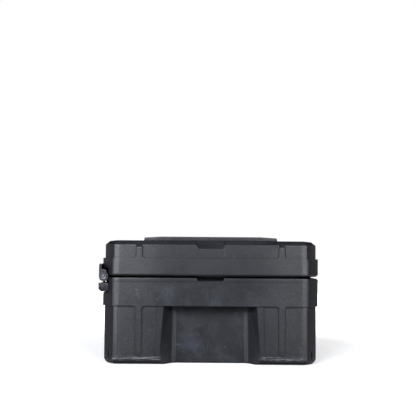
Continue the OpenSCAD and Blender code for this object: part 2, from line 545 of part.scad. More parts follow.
module cell_insulators() color([0.75, 0.72, 0.62]) {
  for (row = [-1, 1]) for (i = [0 : 2]) box(cx(row) - 79, cx(row) + 79, cy(i) + cell_t / 2 + 0.1, cy(i) + cell_t / 2 + cell_gap - 0.1, cz0, cz1 - 2);
  box(-0.4, 0.4, y_c0 + 1, y_c0 + block_l - 1, cz0, cz1 - 2);
}
module end_plates() color([0.70, 0.71, 0.73]) for (f = [0, 1]) difference() {
  box(-160, 160, f == 0 ? y_c0 - 5.1 : y_c0 + block_l + 0.1, f == 0 ? y_c0 - 0.1 : y_c0 + block_l + 5.1, cz0, cz1 - 8);
  for (x = [-150, 150]) for (z = tie_z) rod_y(x, z, 2.05, y_c0 - 6, y_c0 + block_l + 6);
  for (x = [-100, -50, 0, 50, 100]) rod_y(x, 66, 14, y_c0 - 6, y_c0 + block_l + 6);
}
tie_z = [32, 96];
module tie_bars() color([0.62, 0.63, 0.65]) for (s = [-1, 1]) for (z = tie_z) difference() {
  union() {
    box(s > 0 ? 160.6 : -162.4, s > 0 ? 162.4 : -160.6, y_c0 - 7, y_c0 + block_l + 7, z - 9, z + 9);
    for (f = [0, 1]) box(s > 0 ? 140 : -162.4, s > 0 ? 162.4 : -140, f == 0 ? y_c0 - 7 : y_c0 + block_l + 5.2, f == 0 ? y_c0 - 5.2 : y_c0 + block_l + 7, z - 9, z + 9);
  }
  rod_y(s * 150, z, 2.2, y_c0 - 8, y_c0 + block_l + 8);
}
module tie_bar_screws() color(steel) for (s = [-1, 1]) for (z = tie_z) {
  rod_y(s * 150, z, 2, y_c0 - 7.1, y_c0 - 0.2);
  rod_y(s * 150, z, 3.6, y_c0 - 9.4, y_c0 - 7.05);
  rod_y(s * 150, z, 2, y_c0 + block_l + 0.2, y_c0 + block_l + 7.1);
  rod_y(s * 150, z, 3.6, y_c0 + block_l + 7.05, y_c0 + block_l + 9.4);
}

z_bus = cz1 + 2.05;
module bus(x0, y0, x1, y1, holes) difference() {
  box(x0, x1, y0, y1, z_bus, z_bus + 2);
  for (h = holes) rod_z(h[0], h[1], 3.1, z_bus - 1, z_bus + 3);
}
module busbars() color([0.72, 0.42, 0.25]) {
  for (row = [-1, 1]) for (i = [0 : 2]) let (x = cx(row) + (i % 2 == 0 ? term_dx : -term_dx))
    bus(x - 9, cy(i) - 10, x + 9, cy(i + 1) + 10, [[x, cy(i)], [x, cy(i + 1)]]);
  // long bars that put the two rows in parallel, run past the terminals in between
  for (i = [0, 3]) let (d = i == 0 ? -1 : 1) difference() {
    union() {
      box(cx(-1) - term_dx - 9, cx(1) - term_dx + 9, cy(i) + (d < 0 ? -23 : 13), cy(i) + (d < 0 ? -13 : 23), z_bus, z_bus + 2);
      for (row = [-1, 1]) box(cx(row) - term_dx - 9, cx(row) - term_dx + 9, cy(i) - (d < 0 ? 14 : 8), cy(i) + (d < 0 ? 8 : 14), z_bus, z_bus + 2);
    }
    for (row = [-1, 1]) rod_z(cx(row) - term_dx, cy(i), 3.1, z_bus - 1, z_bus + 3);
  }
}
module busbar_nuts() color(steel) for (row = [-1, 1]) for (i = [0 : 3]) for (s = [-1, 1]) difference() {
  translate([cx(row) + s * term_dx, cy(i), z_bus + 2.05]) cylinder(r = 5.4, h = 4.5, $fn = 6);
  rod_z(cx(row) + s * term_dx, cy(i), 3.05, z_bus, z_bus + 9);
}

// ---- Electronics bay ----
module bay_divider() color([0.30, 0.31, 0.33]) difference() {
  box(-160, 160, 11, 14, 5.1, 127.5);
  box(-140, -110, 10, 15, 112, 130);
  box(110, 140, 10, 15, 112, 130);
  box(-20, 20, 10, 15, 118, 130);
}
module bms_case() color([0.12, 0.13, 0.14]) difference() {
  translate([0, 0, 5.1]) linear_extrude(30) polygon(rounded([[-80, 30], [80, 30], [80, 118], [-80, 118]], 4));
  for (x = [-60, -30, 0, 30, 60]) box(x - 8, x + 8, 28, 36, 14, 26);
}
module bms_heatsink() color([0.55, 0.56, 0.58]) {
  box(-76, 76, 34, 114, 35.15, 39);
  for (x = [-72 : 12 : 72]) box(x - 1.2, x + 1.2, 34, 114, 38.9, 52);
}
module current_shunt() color([0.72, 0.55, 0.30]) {
  for (y = [60, 120]) box(104, 140, y - 14, y + 14, 12, 24);
  for (x = [110, 118, 126, 134]) box(x - 1, x + 1, 72, 108, 14, 22);
  box(108, 136, 50, 130, 5.1, 12.1);
}
module fuse_holder() color([0.15, 0.15, 0.16]) difference() {
  box(-150, -106, 40, 150, 5.1, 30);
  box(-143, -113, 58, 132, 16, 31);
}
module fuse_link() color([0.82, 0.80, 0.70]) {
  rod_y(-128, 26, 9, 66, 124);
  box(-138, -118, 58.2, 67, 25, 28);
  box(-138, -118, 123, 131.8, 25, 28);
}

// Cable through a list of corner points, with ball-shaped bends
module cable(pts, r) {
  for (i = [0 : len(pts) - 2]) let (d = pts[i + 1] - pts[i], l = norm(d))
    translate(pts[i]) rotate([0, acos(d[2] / l), atan2(d[1], d[0])]) cylinder(r = r, h = l, $fn = 24);
  for (i = [1 : len(pts) - 2]) translate(pts[i]) sphere(r = 1.12 * r, $fn = 24);
}
zb = z_bus + 2.05;
module positive_cable() color([0.70, 0.10, 0.08]) {
  box(-102, -84, cy(3) - 7, cy(3) + 7, zb, zb + 1.5);
  cable([[-93, cy(3) + 3, zb + 4.2], [-93, -6, zb + 4.2], [-125, 12.5, 119], [-125, 28, 104], [-125, 28, 60], [-128, 50, 46], [-128, 50, 30.3]], 3.6);
  cable([[-128, 141, 30.3], [-128, 141, 44], [-60, 136, 76], [40, 136, 88], [122, 118, 100], [122, 118, 115.5]], 3.6);
}
module negative_cable() color([0.08, 0.08, 0.09]) {
  box(-70, -52, cy(0) - 7, cy(0) + 7, zb, zb + 1.5);
  cable([[-61, cy(0) + 3, zb + 4.2], [-61, -4, zb + 4.2], [0, 12.5, 123.8], [0, 25, 116], [122, 32, 80], [122, 44, 44], [122, 52, 28.5]], 3.6);
  cable([[122, 120, 28.5], [146, 120, 56], [146, 78, 92], [122, 62, 104], [122, 62, 115.5]], 3.6);
}
module sense_harness() color([0.55, 0.50, 0.20]) {
  cable([[8, -196, zb + 2.5], [8, -4, zb + 2.5], [8, 12.5, 125.5], [8, 17.3, 120], [8, 17.8, 60], [60, 24, 20], [60, 33, 20]], 1.8);
}
// Leads from the sockets, gathered in one sleeve
module socket_wiring() color([0.60, 0.12, 0.10]) {
  box(6, 129, 177, 183, 70, 76);
  for (x = [10, 20, 65, 75]) rod_z(x, 180, 1.6, 75.5, 91.9);
  rod_z(125, 180, 1.6, 75.5, 111.9);
  box(124, 129, 122, 178, 71, 75);
}

base_shell();
lid_shell();
rim_gasket();
latch_lever_front();
latch_lever_rear();
latch_pins();
latch_springs();
latch_keeper_front();
latch_keeper_rear();
keeper_screws();
hinge_pins();
vent_plug();
deck_panel();
deck_screws();
main_switch_body();
main_switch_knob();
breaker_body();
breaker_button();
power_button_bezel();
power_button();
meter_housing();
meter_window();
socket_a_body();
socket_a_cap();
socket_b_body();
socket_b_cap();
usb_module();
usb_cap();
output_connectors();
connector_contacts();
terminal_blocks();
terminal_studs();
terminal_nuts();
bay_divider();
cell_1();
cell_2();
cell_3();
cell_4();
cell_5();
cell_6();
cell_7();
cell_8();
cell_insulators();
end_plates();
tie_bars();
tie_bar_screws();
busbars();
busbar_nuts();
floor_pad();
bms_case();
bms_heatsink();
current_shunt();
fuse_holder();
fuse_link();
positive_cable();
negative_cable();
sense_harness();
socket_wiring();
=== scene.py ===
import bpy, json, math
from mathutils import Vector, Matrix


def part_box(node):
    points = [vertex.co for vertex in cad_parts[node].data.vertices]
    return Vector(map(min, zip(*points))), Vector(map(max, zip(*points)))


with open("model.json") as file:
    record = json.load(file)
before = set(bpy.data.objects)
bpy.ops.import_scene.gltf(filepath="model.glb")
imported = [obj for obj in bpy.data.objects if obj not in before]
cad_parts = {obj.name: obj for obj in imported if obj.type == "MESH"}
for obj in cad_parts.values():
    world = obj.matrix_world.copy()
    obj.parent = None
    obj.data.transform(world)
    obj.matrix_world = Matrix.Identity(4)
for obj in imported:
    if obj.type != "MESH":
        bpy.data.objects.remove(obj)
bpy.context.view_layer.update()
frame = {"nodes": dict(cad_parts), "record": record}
nodes = frame["nodes"]
rec = frame["record"]
sc = bpy.context.scene
sc.view_settings.view_transform = "Standard"
sc.view_settings.look = "None"
sc.view_settings.exposure = 0.0
sc.view_settings.gamma = 1.0


# ------------------------------------------------------------------ node helpers
class G:
    """Small helper round a material's node tree."""

    def __init__(self, name):
        self.m = bpy.data.materials.new(name)
        self.m.use_nodes = True
        self.t = self.m.node_tree
        self.t.nodes.clear()
        self.out = self.add("ShaderNodeOutputMaterial")
        self.b = self.add("ShaderNodeBsdfPrincipled")
        self.t.links.new(self.b.outputs[0], self.out.inputs["Surface"])
        self.tc = self.add("ShaderNodeTexCoord").outputs["Object"]

    def add(self, kind, **kw):
        n = self.t.nodes.new(kind)
        for k, v in kw.items():
            setattr(n, k, v)
        return n

    def link(self, a, b):
        if isinstance(a, (int, float)):
            b.default_value = a
        elif isinstance(a, (tuple, list)):
            b.default_value = tuple(a) if len(a) == len(b.default_value) else tuple(a) + (1.0,)
        else:
            self.t.links.new(a, b)

    def math(self, op, a, b=0.0, c=0.0, clamp=False):
        n = self.add("ShaderNodeMath", operation=op, use_clamp=clamp)
        self.link(a, n.inputs[0]); self.link(b, n.inputs[1]); self.link(c, n.inputs[2])
        return n.outputs[0]

    def noise(self, scale, detail=3.0, rough=0.5, vec=None, distort=0.0, w=None):
        n = self.add("ShaderNodeTexNoise")
        n.inputs["Scale"].default_value = scale
        n.inputs["Detail"].default_value = detail
        n.inputs["Roughness"].default_value = rough
        n.inputs["Distortion"].default_value = distort
        self.t.links.new(vec or self.tc, n.inputs["Vector"])
        return n.outputs["Fac"]

    def stretch(self, sx, sy, sz, loc=(0, 0, 0), rot=(0, 0, 0)):
        n = self.add("ShaderNodeMapping")
        n.inputs["Scale"].default_value = (sx, sy, sz)
        n.inputs["Location"].default_value = loc
        n.inputs["Rotation"].default_value = rot
        self.t.links.new(self.tc, n.inputs["Vector"])
        return n.outputs[0]

    def ramp(self, fac, lo, hi, a=0.0, b=1.0):
        n = self.add("ShaderNodeMapRange", interpolation_type="SMOOTHSTEP")
        self.link(fac, n.inputs["Value"])
        n.inputs["From Min"].default_value = lo
        n.inputs["From Max"].default_value = hi
        n.inputs["To Min"].default_value = a
        n.inputs["To Max"].default_value = b
        return n.outputs[0]

    def mix(self, fac, a, b, blend="MIX"):
        n = self.add("ShaderNodeMix", data_type="RGBA", blend_type=blend)
        self.link(fac, n.inputs["Factor"])
        self.link(a, n.inputs["A"] if False else n.inputs[6])
        self.link(b, n.inputs[7])
        return n.outputs[2]

    def xyz(self):
        n = self.add("ShaderNodeSeparateXYZ")
        self.t.links.new(self.tc, n.inputs[0])
        return n.outputs

    def normal(self):
        g = self.add("ShaderNodeNewGeometry")
        n = self.add("ShaderNodeSeparateXYZ")
        self.t.links.new(g.outputs["True Normal"], n.inputs[0])
        return n.outputs

    def bump(self, height, dist, strength=1.0, prev=None):
        n = self.add("ShaderNodeBump")
        n.inputs["Strength"].default_value = strength
        n.inputs["Distance"].default_value = dist
        self.link(height, n.inputs["Height"])
        if prev is not None:
            self.t.links.new(prev, n.inputs["Normal"])
        return n.outputs[0]

    def soft(self, radius, samples=6):
        """Normal with its corners rounded, and a mask that is 1 on the corners."""
        n = self.add("ShaderNodeBevel", samples=samples)
        n.inputs["Radius"].default_value = radius
        geo = self.add("ShaderNodeNewGeometry")
        d = self.add("ShaderNodeVectorMath", operation="DOT_PRODUCT")
        self.t.links.new(n.outputs[0], d.inputs[0])
        self.t.links.new(geo.outputs["Normal"], d.inputs[1])
        return n.outputs[0], self.ramp(d.outputs["Value"], 0.995, 0.90)

    def set(self, **kw):
        names = {"color": "Base Color", "rough": "Roughness", "metal": "Metallic", "spec": "Specular IOR Level", "normal": "Normal",
                 "coat": "Coat Weight", "coat_rough": "Coat Roughness", "sheen": "Sheen Weight", "trans": "Transmission Weight",
                 "ior": "IOR", "alpha": "Alpha", "emit": "Emission Color", "emit_s": "Emission Strength", "sheen_rough": "Sheen Roughness"}
        for k, v in kw.items():
            self.link(v, self.b.inputs[names[k]])
        return self.m


def tint(c, k):
    return tuple(min(1.0, v * k) for v in c[:3])


def moulded(name, color, rough=0.5, grain=520.0, depth=0.00012, var=0.18, spec=0.5, edge_wear_and_highlight=0.55, marks_and_painted_light=False, radius=0.0008, latch=False):
    """Moulded plastic: fine cast texture, slow colour drift, painted shade in corners and gaps, and optionally
    dust, scuffs, rubbed spots and scratches together with painted shade and painted highlights; for the latch,
    painted shade on its edges and keepers.
    """
    g = G(name)
    big = g.noise(7.0, 4.0, 0.55)
    mid = g.noise(46.0, 4.0, 0.6)
    fine = g.noise(grain, 2.0, 0.5)
    c = g.mix(g.ramp(big, 0.32, 0.68), tint(color, 1 - var), tint(color, 1 + var))
    c = g.mix(g.ramp(mid, 0.35, 0.75, 0.0, 0.35), c, tint(color, 1.28))
    c = g.mix(g.ramp(fine, 0.35, 0.7, 0.0, 0.30), c, tint(color, 0.62))
    r = g.math("ADD", g.ramp(mid, 0.3, 0.7, rough - 0.05, rough + 0.07), g.ramp(big, 0.3, 0.7, -0.04, 0.05))
    h = g.math("ADD", g.math("MULTIPLY", fine, 0.75), g.math("MULTIPLY", g.noise(grain * 0.42, 2.0, 0.5), 0.5))
    rounded, corner = g.soft(radius)
    if marks_and_painted_light:
        # the sloping top edges stay crisp, so the light behind the case doesn't catch on them
        plain = g.add("ShaderNodeNewGeometry")
        rounded = g.mix(g.ramp(g.normal()[2], 0.25, 0.40), rounded, plain.outputs["Normal"])
        # moulding draft: the walls of the lid lean in upwards, those of the base lean in downwards
        lean = g.add("ShaderNodeVectorMath", operation="ADD")
        g.t.links.new(rounded, lean.inputs[0])
        comb = g.add("ShaderNodeCombineXYZ")
        zz = g.xyz()[2]
        flat = g.ramp(g.math("ABSOLUTE", g.normal()[2]), 0.5, 0.2)
        g.link(g.math("MULTIPLY", g.ramp(zz, 0.1570, 0.1590, -0.030, 0.026), flat), comb.inputs[2])
        # and each end wall turns away a little towards its upright corners
        gx = g.xyz()[0]
        turn = g.math("MULTIPLY", g.ramp(g.math("ABSOLUTE", gx), 0.158, 0.181, 0.0, 0.13), g.ramp(g.math("ABSOLUTE", g.normal()[1]), 0.9, 0.98))
        g.link(g.math("MULTIPLY", turn, g.math("SIGN", gx)), comb.inputs[0])
        g.t.links.new(comb.outputs[0], lean.inputs[1])
        unit = g.add("ShaderNodeVectorMath", operation="NORMALIZE")
        g.t.links.new(lean.outputs[0], unit.inputs[0])
        rounded = unit.outputs[0]
    n = g.bump(h, depth, 0.9, rounded)
    if marks_and_painted_light:
        x, y, z = g.xyz()
        nx, ny, nz = g.normal()
        ends = g.ramp(g.math("ABSOLUTE", ny), 0.75, 0.95)
        # soft bluish dust rubbed on the middle of the end faces
        ax = g.math("ABSOLUTE", x)
        mid_x = g.ramp(ax, 0.03, 0.15, 1.0, 0.0)
        below = g.ramp(z, 0.150, 0.138)
        blot = g.ramp(g.noise(19.0, 5.0, 0.62, distort=0.4), 0.42, 0.72)
        dust = g.math("MULTIPLY", g.math("MULTIPLY", ends, mid_x), g.math("MULTIPLY", below, blot))
        c = g.mix(g.math("MULTIPLY", dust, 0.26), c, (0.060, 0.070, 0.092))
        # pale rubbed spots
        spots = g.ramp(g.noise(88.0, 3.0, 0.55, distort=0.8), 0.63, 0.80)
        spots = g.math("MULTIPLY", spots, g.math("MULTIPLY", ends, g.ramp(z, 0.153, 0.120)))
        c = g.mix(g.math("MULTIPLY", spots, 0.30), c, (0.10, 0.115, 0.14))
        # scuffs along the ledge near the ground, all round
        foot = g.math("MULTIPLY", g.ramp(z, 0.0065, 0.0100), g.ramp(z, 0.0165, 0.0125))
        streak = g.ramp(g.noise(1.0, 5.0, 0.65, vec=g.stretch(70, 70, 900)), 0.50, 0.66)
        ay = g.math("ABSOLUTE", y)
        outer = g.math("MAXIMUM", g.ramp(ay, 0.2475, 0.2495), g.ramp(ax, 0.188, 0.1895))
        scuff = g.math("MULTIPLY", g.math("MULTIPLY", foot, streak), outer)
        c = g.mix(g.math("MULTIPLY", scuff, 0.50), c, (0.36, 0.37, 0.39))
        # dust settled on faces that look up
        up = g.math("MULTIPLY", g.ramp(nz, 0.6, 0.98), g.ramp(g.noise(11.0, 5.0, 0.6), 0.35, 0.75, 0.15, 0.55))
        c = g.mix(g.math("MULTIPLY", up, 0.35), c, (0.11, 0.11, 0.115))
        # hairline scratches
        s1 = g.noise(1.0, 2.0, 0.5, vec=g.stretch(9, 9, 420, rot=(0.35, 0.5, 0.2)))
        s2 = g.noise(1.0, 2.0, 0.5, vec=g.stretch(420, 12, 12, rot=(0.2, 0.3, 0.7)))
        hair = g.math("MAXIMUM", g.ramp(s1, 0.715, 0.735), g.ramp(s2, 0.725, 0.745))
        hair = g.math("MULTIPLY", hair, g.ramp(mid, 0.50, 0.62))
        c = g.mix(g.math("MULTIPLY", hair, 0.30), c, (0.22, 0.225, 0.235))
        # painted shade: the middle of each end face gets less sheen, so it looks darker than the sides
        middle_shade = g.math("MULTIPLY", ends, g.ramp(ax, 0.045, 0.165, 1.0, 0.0))
        spec = g.ramp(middle_shade, 0.0, 1.0, spec, spec * 0.56)
        spec = g.math("MULTIPLY", spec, g.math("ADD", g.ramp(fine, 0.32, 0.68, 0.90, 1.12), g.ramp(g.noise(620.0, 2.0, 0.6), 0.35, 0.65, -0.07, 0.09)))
        # painted highlight: a strip beside each upright corner gets more sheen; painted shade: the corner flats get
        # less sheen and a darker colour
        corner_highlight = g.math("MULTIPLY", ends, g.math("MULTIPLY", g.ramp(ax, 0.156, 0.174), g.ramp(g.math("ABSOLUTE", nz), 0.5, 0.2)))
        spec = g.math("MULTIPLY", spec, g.ramp(corner_highlight, 0.0, 1.0, 1.0, 1.24))
        anx = g.math("ABSOLUTE", nx)
        flats = g.math("MULTIPLY", g.math("MULTIPLY", g.ramp(anx, 0.35, 0.50), g.ramp(anx, 0.97, 0.90)), g.ramp(g.math("ABSOLUTE", nz), 0.5, 0.2))
        # painted highlight: the fillets of the grips get more sheen and a lighter colour; painted shade: the grip
        # side walls get less sheen
        inner = g.math("MULTIPLY", g.ramp(ax, 0.150, 0.140), g.ramp(g.math("ABSOLUTE", nz), 0.5, 0.2))
        fillets = g.math("MULTIPLY", inner, g.math("MULTIPLY", g.ramp(anx, 0.12, 0.28), g.ramp(anx, 0.74, 0.58)))
        walls = g.math("MULTIPLY", inner, g.math("MULTIPLY", g.ramp(anx, 0.74, 0.86), g.ramp(g.math("ABSOLUTE", y), 0.2535, 0.2500)))
        spec = g.math("MULTIPLY", spec, g.ramp(walls, 0.0, 1.0, 1.0, 0.72))
        # painted shade on the corner flats and painted highlight on the grip fillets, in sheen and in colour
        flats = g.math("MULTIPLY", flats, g.ramp(ax, 0.140, 0.150))
        spec = g.math("MULTIPLY", spec, g.ramp(flats, 0.0, 1.0, 1.0, 0.46))
        spec = g.math("MULTIPLY", spec, g.ramp(fillets, 0.0, 1.0, 1.0, 1.8))
        c = g.mix(g.math("MULTIPLY", flats, 0.35), c, tint(color, 0.3))
        c = g.mix(g.math("MULTIPLY", fillets, 0.5), c, tint(color, 2.2))
        # painted highlight: a narrow bright strip beside each upright corner, weaker near the ground
        glint = g.math("MULTIPLY", g.math("MULTIPLY", g.ramp(ax, 0.1635, 0.1700), g.ramp(ax, 0.1765, 0.1735)), ends)
        glint = g.math("MULTIPLY", glint, g.math("MULTIPLY", g.ramp(z, 0.030, 0.060, 0.45, 1.0), g.ramp(g.math("ABSOLUTE", nz), 0.5, 0.2)))
        spec = g.math("MULTIPLY", spec, g.ramp(glint, 0.0, 1.0, 1.0, 1.52))
        # the roof of each grip shades the wall under it
        shade = g.math("MULTIPLY", g.math("MULTIPLY", g.ramp(z, 0.088, 0.1056), g.ramp(z, 0.1062, 0.1058)), g.math("MULTIPLY", g.ramp(ax, 0.112, 0.100), g.ramp(g.math("ABSOLUTE", y), 0.2480, 0.2450)))
        spec = g.math("MULTIPLY", spec, g.ramp(shade, 0.0, 1.0, 1.0, 0.30))
        # painted shade: the sloping top edges and the lid's rim get no sheen, so they stay dark
        slope = g.ramp(nz, 0.30, 0.45)
        edge = g.math("MAXIMUM", g.math("MULTIPLY", g.math("MULTIPLY", slope, g.ramp(nz, 0.985, 0.95)), g.ramp(anx, 0.30, 0.45)), g.math("MULTIPLY", slope, corner))
        rim = g.math("MULTIPLY", g.math("MULTIPLY", g.ramp(nz, 0.85, 0.92), g.ramp(nz, 0.9990, 0.9965)), g.ramp(z, 0.2262, 0.2250))
        edge = g.math("MAXIMUM", edge, rim)
        spec = g.math("MULTIPLY", spec, g.ramp(edge, 0.0, 1.0, 1.0, 0.0))
        # painted highlight: the platform's slope gets more sheen
        lip = g.math("MULTIPLY", g.math("MULTIPLY", g.ramp(z, 0.2262, 0.2275), g.ramp(g.math("ABSOLUTE", ny), 0.10, 0.25)), g.ramp(g.math("ABSOLUTE", nz), 0.97, 0.90))
        spec = g.math("MULTIPLY", spec, g.ramp(lip, 0.0, 1.0, 1.0, 1.5))
        # the top is rubbed dull
        top = g.ramp(nz, 0.93, 0.985)
        spec = g.math("MULTIPLY", spec, g.ramp(top, 0.0, 1.0, 1.0, 0.55))
        r = g.math("ADD", r, g.math("MULTIPLY", top, 0.14))
        r = g.math("ADD", r, g.math("MULTIPLY", dust, 0.10))
        n = g.bump(g.math("SUBTRACT", 0.0, hair), 0.00006, 0.5, n)
    if latch:
        # painted shade: the foot of each keeper and the edges of the latch parts get less sheen and stay dark; the
        # other faces keep a blotchy sheen
        lo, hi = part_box("latch_keeper_front")
        z = g.xyz()[2]
        lit = g.math("MAXIMUM", g.ramp(z, lo.z + 0.006, hi.z - 0.007), g.ramp(z, hi.z + 0.0005, hi.z + 0.0020))
        blot = g.ramp(g.noise(210.0, 3.0, 0.6), 0.38, 0.64, 0.62, 1.45)
        spec = g.math("MULTIPLY", g.math("MULTIPLY", g.ramp(lit, 0.0, 1.0, spec * 0.30, spec), blot), g.ramp(corner, 0.0, 0.6, 1.0, 0.30))
    # painted shade: corners and gaps, found by ambient occlusion, lose their sheen and are darkened in colour
    ao = g.add("ShaderNodeAmbientOcclusion", samples=8)
    ao.inputs["Distance"].default_value = 0.022
    open_ = g.ramp(ao.outputs["AO"], 0.10, 0.80, 0.0, 1.0)
    spec = g.math("MULTIPLY", spec, g.ramp(open_, 0.0, 1.0, 0.12, 1.0))
    c = g.mix(open_, tint(color, 0.35), c)
    # lighter edges: partly wear, partly a painted highlight along the rounded corners
    if edge_wear_and_highlight:
        w = g.math("MULTIPLY", g.ramp(g.noise(120.0, 4.0, 0.6), 0.30, 0.72, 0.25, 1.0), corner)
        c = g.mix(g.math("MULTIPLY", w, edge_wear_and_highlight), c, tint(color, 2.8))
        r = g.math("SUBTRACT", r, g.math("MULTIPLY", corner, 0.06))
    return g.set(color=c, rough=r, normal=n, spec=spec)


def metal(name, color, rough=0.3, brushed=(1, 1, 1), stain=0.15):
    g = G(name)
    v = g.stretch(*[260 * b for b in brushed])
    lines = g.noise(1.0, 3.0, 0.6, vec=v)
    big = g.noise(55.0, 4.0, 0.6)
    c = g.mix(g.ramp(big, 0.35, 0.7, 0.0, stain), tint(color, 1.0), tint(color, 0.55))
    c = g.mix(g.ramp(lines, 0.3, 0.7, 0.0, 0.25), c, tint(color, 1.18))
    r = g.ramp(lines, 0.3, 0.7, rough - 0.07, rough + 0.10)
    n = g.bump(lines, 0.00004, 0.6)
    return g.set(color=c, rough=r, normal=n, metal=1.0)


def ring_head(name, color, rough, node):
    """Dark steel pin whose head has a turned groove round its middle; the groove is bumped in and painted almost
    black as painted shade.
    """
    g = G(name)
    lo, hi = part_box(node)
    x, y, z = g.xyz()
    cx, cz, rad = (lo.x + hi.x) / 2, (lo.z + hi.z) / 2, (hi.z - lo.z) / 2
    dx, dz = g.math("SUBTRACT", x, cx), g.math("SUBTRACT", z, cz)
    d = g.math("SQRT", g.math("ADD", g.math("MULTIPLY", dx, dx), g.math("MULTIPLY", dz, dz)))
    groove = g.math("MULTIPLY", g.ramp(d, rad * 0.34, rad * 0.46), g.ramp(d, rad * 0.74, rad * 0.62))
    turn = g.noise(1.0, 2.0, 0.5, vec=g.stretch(900, 200, 900))
    c = g.mix(g.ramp(turn, 0.3, 0.7, 0.0, 0.4), color, tint(color, 1.5))
    # painted shade: the groove is painted almost black
    c = g.mix(groove, c, tint(color, 0.10))
    return g.set(color=c, rough=g.ramp(turn, 0.3, 0.7, rough - 0.05, rough + 0.08), metal=1.0,
                 normal=g.bump(g.math("SUBTRACT", turn, g.math("MULTIPLY", groove, 3.0)), 0.00006, 0.6))


def rubber(name, color, rough=0.68, grain=380.0):
    g = G(name)
    a = g.noise(30.0, 4.0, 0.6)
    f = g.noise(grain, 2.0, 0.5)
    c = g.mix(g.ramp(a, 0.3, 0.7), tint(color, 0.8), tint(color, 1.3))
    c = g.mix(g.ramp(f, 0.55, 0.8, 0.0, 0.25), c, tint(color, 1.9))
    return g.set(color=c, rough=g.ramp(a, 0.3, 0.7, rough - 0.08, rough + 0.08), normal=g.bump(f, 0.0001, 0.7), spec=0.4)


def gloss(name, color, rough=0.28):
    g = G(name)
    a = g.noise(40.0, 4.0, 0.6)
    f = g.noise(700.0, 2.0, 0.5)
    c = g.mix(g.ramp(a, 0.3, 0.7), tint(color, 0.88), tint(color, 1.10))
    sc_ = g.ramp(g.noise(1.0, 2.0, 0.5, vec=g.stretch(30, 900, 30, rot=(0, 0, 0.6))), 0.66, 0.70)
    c = g.mix(g.math("MULTIPLY", sc_, 0.15), c, tint(color, 1.5))
    return g.set(color=c, rough=g.ramp(a, 0.3, 0.7, rough - 0.06, rough + 0.10), normal=g.bump(f, 0.00004, 0.5), spec=0.5)


def paper(name, color):
    g = G(name)
    f = g.noise(1.0, 4.0, 0.6, vec=g.stretch(260, 260, 900))
    a = g.noise(25.0, 4.0, 0.6)
    c = g.mix(g.ramp(a, 0.3, 0.7), tint(color, 0.85), tint(color, 1.08))
    c = g.mix(g.ramp(f, 0.4, 0.7, 0.0, 0.3), c, tint(color, 0.7))
    return g.set(color=c, rough=0.8, normal=g.bump(f, 0.0001, 0.6))


def foam(name, color):
    g = G(name)
    v = g.add("ShaderNodeTexVoronoi")
    v.inputs["Scale"].default_value = 420.0
    g.t.links.new(g.tc, v.inputs["Vector"])
    d = v.outputs["Distance"]
    c = g.mix(g.ramp(d, 0.1, 0.6), tint(color, 0.6), tint(color, 1.3))
    return g.set(color=c, rough=0.92, normal=g.bump(d, 0.0003, 0.8), spec=0.25)


def window(name, color):
    g = G(name)
    x, y, z = g.xyz()
    lo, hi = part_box("meter_window")
    a = g.noise(60.0, 4.0, 0.6)
    u = g.ramp(x, lo.x, hi.x)
    # a plain charge bar: eight lit blocks out of ten places on dark glass, no lettering
    nlin = g.add("ShaderNodeMapRange")
    g.link(x, nlin.inputs["Value"])
    nlin.inputs["From Min"].default_value = lo.x + 0.008
    nlin.inputs["From Max"].default_value = hi.x - 0.008
    t = nlin.outputs[0]
    saw = g.math("FRACT", g.math("MULTIPLY", t, 10.0))
    blocks = g.math("MULTIPLY", g.math("GREATER_THAN", saw, 0.22), g.math("MULTIPLY", g.math("GREATER_THAN", t, 0.0), g.math("LESS_THAN", t, 0.8)))
    yc = (lo.y + hi.y) / 2
    band = g.math("MULTIPLY", g.math("GREATER_THAN", y, yc - 0.006), g.math("LESS_THAN", y, yc + 0.006))
    lit = g.math("MULTIPLY", blocks, band)
    c = g.mix(g.ramp(a, 0.3, 0.7, 0.0, 0.4), color, tint(color, 1.6))
    c = g.mix(g.math("MULTIPLY", lit, 0.8), c, (0.25, 0.62, 0.38))
    return g.set(color=c, rough=g.ramp(a, 0.3, 0.7, 0.06, 0.14), spec=0.6, coat=0.6, coat_rough=0.05,
                 normal=g.bump(a, 0.00002, 0.3), emit=(0.2, 0.6, 0.35), emit_s=g.math("MULTIPLY", lit, 0.25))


